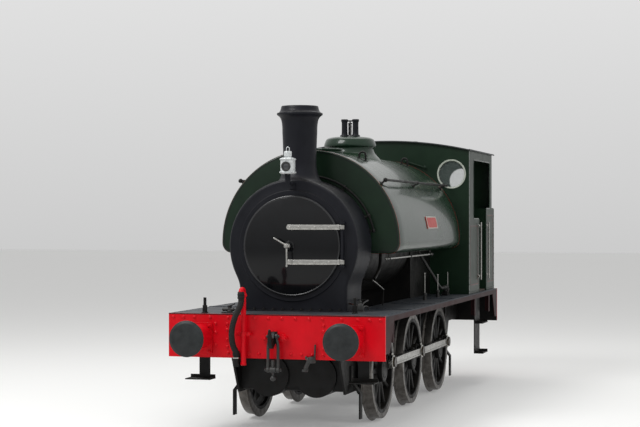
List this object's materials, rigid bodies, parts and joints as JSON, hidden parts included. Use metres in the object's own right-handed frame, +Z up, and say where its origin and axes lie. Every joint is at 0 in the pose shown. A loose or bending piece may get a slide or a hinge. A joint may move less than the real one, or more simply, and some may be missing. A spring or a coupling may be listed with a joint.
{
  "type": "saddle tank steam locomotive",
  "caption": "Standard gauge inside-cylinder saddle tank shunting engine with coupled wheels, open cab, opening smokebox door and hinged tank filler.",
  "frame": {"origin": "middle of the length over buffers, on the centreline, at the tips of the wheel flanges", "axes": "+Z up, -Y towards the smokebox end, +X to the engine's left side"},
  "size_m": [2.478, 8.14, 3.6738],
  "materials": {
    "gloss_green": "gloss",
    "smokebox_black": "satin",
    "gloss_black": "gloss",
    "signal_red": "gloss",
    "buffer_steel": "satin",
    "deck_grey": "satin",
    "maroon": "satin",
    "frame_black": "satin",
    "bright_steel": "polished",
    "cream_white": "satin",
    "hose_black": "matt",
    "clear_glass": "polished",
    "brass": "polished"
  },
  "bodies": {
    "engine": {"left_frame": "frame_black", "right_frame": "frame_black", "frame_stretchers": "frame_black", "buffer_beams": "signal_red", "buffer_housings": "signal_red", "buffer_heads": "buffer_steel", "drawhooks": "signal_red", "screw_couplings": "buffer_steel", "front_deck": "deck_grey", "running_plates": "deck_grey", "valances": "maroon", "cab_floor": "deck_grey", "smokebox_wrapper": "smokebox_black", "smokebox_front_plate": "smokebox_black", "smokebox_base": "smokebox_black", "chimney": "smokebox_black", "lamp_bracket": "frame_black", "head_lamp": "cream_white", "boiler_barrel": "frame_black", "firebox": "frame_black", "ashpan": "frame_black", "cylinder_block": "frame_black", "saddle_tank": "gloss_green", "filler_collar": "gloss_green", "dome": "gloss_green", "safety_valves": "buffer_steel", "cab_front_sheet": "gloss_green", "left_cab_side": "gloss_green", "right_cab_side": "gloss_green", "cab_rear_sheet": "gloss_green", "cab_roof": "frame_black", "window_rims": "brass", "window_glass": "clear_glass", "bunker": "gloss_green", "axleboxes": "frame_black", "leaf_springs": "frame_black", "brake_gear": "frame_black", "front_steps": "frame_black", "cab_steps": "frame_black", "tank_handrails": "bright_steel", "smokebox_handrail": "bright_steel", "cab_handrails": "bright_steel", "tank_pipes": "frame_black", "vacuum_pipes": "signal_red", "vacuum_hoses": "hose_black"},
    "smokebox_door": {"smokebox_door": "gloss_black", "door_straps": "bright_steel", "door_handles": "bright_steel"},
    "filler_lid": {"filler_lid": "gloss_green"},
    "leading_wheels": {"leading_wheelset": "frame_black"},
    "driving_wheels": {"driving_wheelset": "frame_black"},
    "trailing_wheels": {"trailing_wheelset": "frame_black"},
    "left_rod": {"left_coupling_rod": "bright_steel"},
    "right_rod": {"right_coupling_rod": "bright_steel"}
  },
  "joints": [
    {"name": "driving_axle", "type": "hinge", "parent": "engine", "child": "driving_wheels", "pos_m": [0, -0.345, 0.5995], "axis": [1, 0, 0], "continuous": true},
    {"name": "leading_axle", "type": "hinge", "parent": "engine", "child": "leading_wheels", "pos_m": [0, -1.945, 0.5995], "axis": [1, 0, 0], "continuous": true},
    {"name": "trailing_axle", "type": "hinge", "parent": "engine", "child": "trailing_wheels", "pos_m": [0, 1.332, 0.5995], "axis": [1, 0, 0], "continuous": true},
    {"name": "left_crank_pin", "type": "hinge", "parent": "driving_wheels", "child": "left_rod", "pos_m": [0.869, -0.12981, 0.67782], "axis": [1, 0, 0], "continuous": true},
    {"name": "right_crank_pin", "type": "hinge", "parent": "driving_wheels", "child": "right_rod", "pos_m": [-0.869, -0.42332, 0.81469], "axis": [1, 0, 0], "continuous": true},
    {"name": "smokebox_door_hinge", "type": "hinge", "parent": "engine", "child": "smokebox_door", "pos_m": [0.592, -2.9843, 2.073], "axis": [0, 0, 1], "range_deg": [0, 140]},
    {"name": "filler_lid_hinge", "type": "hinge", "parent": "engine", "child": "filler_lid", "pos_m": [0, -1.296, 3.226], "axis": [-1, 0, 0], "range_deg": [0, 110]}
  ],
  "couplings": [
    {"joint": "leading_axle", "follows": "driving_axle", "ratio": 1},
    {"joint": "trailing_axle", "follows": "driving_axle", "ratio": 1},
    {"joint": "left_crank_pin", "follows": "driving_axle", "ratio": -1},
    {"joint": "right_crank_pin", "follows": "driving_axle", "ratio": -1}
  ]
}
